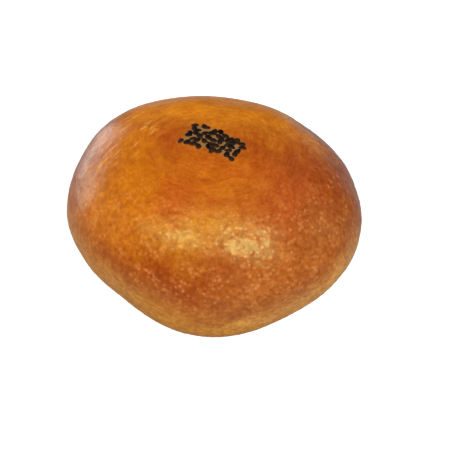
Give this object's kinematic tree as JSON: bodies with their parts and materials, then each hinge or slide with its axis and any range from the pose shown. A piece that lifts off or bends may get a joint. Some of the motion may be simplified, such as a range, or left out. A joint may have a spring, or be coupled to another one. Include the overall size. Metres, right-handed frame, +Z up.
{
  "type": "red bean bun",
  "caption": "Round, top-heavy baked bun with a glossy egg-washed crust and a short stamped band of black sesame seeds on its crown, standing on a small flat foot.",
  "frame": {"origin": "bottom centre of the bun's box, on the surface that it stands on", "axes": "+Z up through the crown, +X along the width, +Y to the back"},
  "size_m": [0.0962, 0.0852, 0.0585],
  "materials": {
    "crust": "egg-washed baked crust, orange brown, soft gloss, with black sesame seeds on the crown",
    "sesame": "hulls of the black sesame seeds, near black with a brown cast, dull"
  },
  "bodies": {
    "root": {"bun": "crust"}
  },
  "joints": []
}
